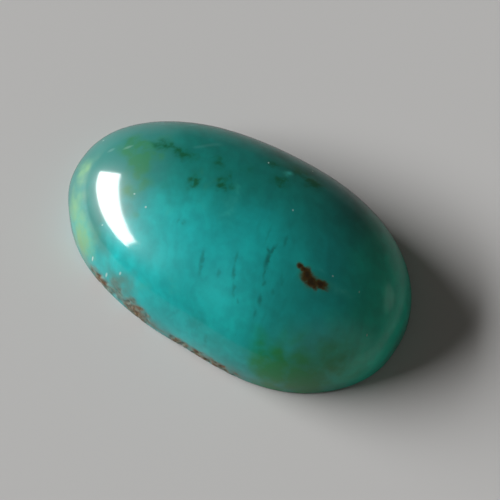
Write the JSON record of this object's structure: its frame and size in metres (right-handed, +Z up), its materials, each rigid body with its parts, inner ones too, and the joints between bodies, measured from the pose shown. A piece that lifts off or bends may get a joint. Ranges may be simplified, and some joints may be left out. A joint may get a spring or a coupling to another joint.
{
  "type": "gem silica cabochon",
  "caption": "Polished oval gem silica cabochon with a high blue-green dome, a flat back to rest on and a rim of brown host rock.",
  "frame": {"origin": "middle of the stone's footprint, in the plane of its flat back", "axes": "+X along the stone toward its broader end, +Y across it away from the brown rim, +Z up through the dome"},
  "size_m": [0.024, 0.0144, 0.0068],
  "materials": {
    "polished_gem_silica": "glassy hand polish on dome and girdle, fine ground back"
  },
  "bodies": {
    "root": {"cabochon": "polished_gem_silica"}
  },
  "joints": []
}
